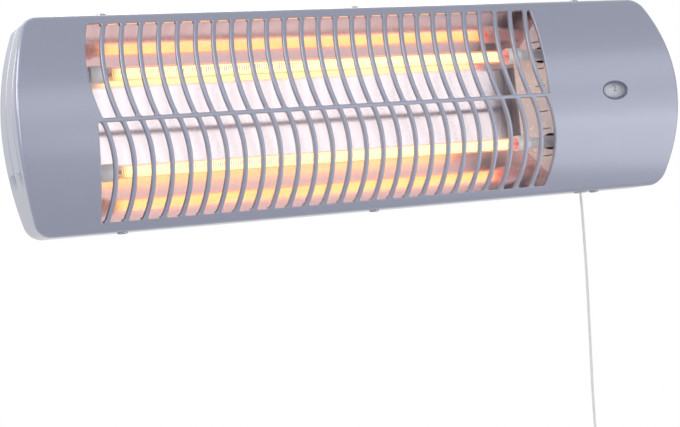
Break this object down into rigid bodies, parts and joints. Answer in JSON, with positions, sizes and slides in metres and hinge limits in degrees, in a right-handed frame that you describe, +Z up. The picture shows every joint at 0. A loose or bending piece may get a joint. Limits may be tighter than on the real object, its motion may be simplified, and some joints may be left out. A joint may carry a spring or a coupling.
{
  "type": "electric bar heater",
  "caption": "Long silver-grey wall heater with glowing quartz bars and a bright reflector behind a slatted grille, a pull cord, and a bracket that lets it tilt.",
  "frame": {"origin": "middle of the wall bracket's back face, on the wall", "axes": "+X to the right of someone facing the heater, -Y into the room, +Z up"},
  "size_m": [0.5284, 0.123, 0.4326],
  "materials": {
    "cover_grey": "satin grey moulded plastic",
    "pan_grey": "matt grey moulded plastic",
    "reflector_bright": "polished aluminium sheet",
    "zinc_steel": "zinc-plated steel sheet",
    "quartz": "milky quartz glass, glowing",
    "resistance_wire": "glowing resistance wire",
    "ceramic": "glazed white ceramic",
    "pin_metal": "nickel-plated steel",
    "lens_clear": "clear plastic",
    "bezel_dark": "dark grey plastic",
    "drum_white": "white plastic",
    "switch_black": "black phenolic plastic",
    "lever_nylon": "natural nylon",
    "spring_steel": "bright spring steel",
    "screw_steel": "zinc-plated steel",
    "bush_grey": "light grey plastic",
    "cord_white": "braided off-white cord",
    "knob_white": "off-white plastic",
    "block_white": "white nylon",
    "grommet_rubber": "black rubber",
    "cutout_metal": "aluminium and phenolic disc",
    "wire_black": "heat-proof sleeve",
    "wire_brown": "heat-proof sleeve",
    "wire_blue": "heat-proof sleeve",
    "wire_green": "heat-proof sleeve",
    "bracket_paint": "grey powder-coated steel",
    "bolt_zinc": "zinc-plated steel",
    "washer_black": "black fibre washer"
  },
  "bodies": {
    "wall": {"wall_bracket": "bracket_paint", "steel_washer_left": "bolt_zinc", "steel_washer_right": "bolt_zinc"},
    "heater": {"front_cover": "cover_grey", "back_cover": "pan_grey", "case_screws": "screw_steel", "reflector": "reflector_bright", "reflector_end_left": "reflector_bright", "reflector_end_right": "reflector_bright", "tube_bracket_left": "zinc_steel", "tube_bracket_right": "zinc_steel", "quartz_tube_upper": "quartz", "quartz_tube_lower": "quartz", "heating_coil_upper": "resistance_wire", "heating_coil_lower": "resistance_wire", "ceramic_cap_upper_left": "ceramic", "ceramic_cap_upper_right": "ceramic", "ceramic_cap_lower_left": "ceramic", "ceramic_cap_lower_right": "ceramic", "terminal_pins": "pin_metal", "lens": "lens_clear", "lens_bezel": "bezel_dark", "pull_switch": "switch_black", "lever_spring": "spring_steel", "switch_bracket": "zinc_steel", "inner_screws": "screw_steel", "cord_bush": "bush_grey", "terminal_block": "block_white", "cable_grommet": "grommet_rubber", "thermal_cutout": "cutout_metal", "wire_upper": "wire_black", "wire_lower": "wire_brown", "wire_link": "wire_blue", "wire_return": "wire_blue", "wire_neutral": "wire_blue", "wire_live": "wire_brown", "wire_earth": "wire_green", "swivel_bracket": "bracket_paint", "swivel_screws": "screw_steel", "pivot_bolt_left": "bolt_zinc", "pivot_bolt_right": "bolt_zinc", "friction_washer_left": "washer_black", "friction_washer_right": "washer_black"},
    "drum": {"indicator_drum": "drum_white"},
    "lever": {"switch_lever": "lever_nylon"},
    "pull": {"pull_link": "cord_white"},
    "cord": {"pull_cord": "cord_white", "pull_knob": "knob_white"},
    "wing_nut_left": {"wing_nut_left": "bolt_zinc"},
    "wing_nut_right": {"wing_nut_right": "bolt_zinc"}
  },
  "joints": [
    {"name": "heater_tilt", "type": "hinge", "parent": "wall", "child": "heater", "pos_m": [0, -0.032, 0], "axis": [1, 0, 0], "range_deg": [0, 35]},
    {"name": "left_wing_nut_turn", "type": "hinge", "parent": "heater", "child": "wing_nut_left", "pos_m": [-0.085, -0.032, 0], "axis": [-1, 0, 0], "range_deg": [0, 180]},
    {"name": "right_wing_nut_turn", "type": "hinge", "parent": "heater", "child": "wing_nut_right", "pos_m": [0.085, -0.032, 0], "axis": [1, 0, 0], "range_deg": [0, 180]},
    {"name": "cord_pull", "type": "slide", "parent": "heater", "child": "pull", "axis": [0, 0, -1], "range_m": [0, 0.008], "stiffness_N_per_m": 600, "springref_m": -0.004},
    {"name": "switch_lever_swing", "type": "hinge", "parent": "heater", "child": "lever", "pos_m": [0.18, -0.082, -0.022], "axis": [1, 0, 0], "range_deg": [0, 31]},
    {"name": "cord_hang", "type": "hinge", "parent": "pull", "child": "cord", "pos_m": [0.18, -0.096, -0.077], "axis": [1, 0, 0], "range_deg": [-35, 0]},
    {"name": "indicator_turn", "type": "hinge", "parent": "heater", "child": "drum", "pos_m": [0.2045, -0.104, 0.0005], "axis": [1, 0, 0], "range_deg": [0, 240]}
  ],
  "couplings": [
    {"joint": "switch_lever_swing", "follows": "cord_pull", "rad_per_m": 67.6},
    {"joint": "cord_hang", "follows": "heater_tilt", "ratio": -1}
  ]
}
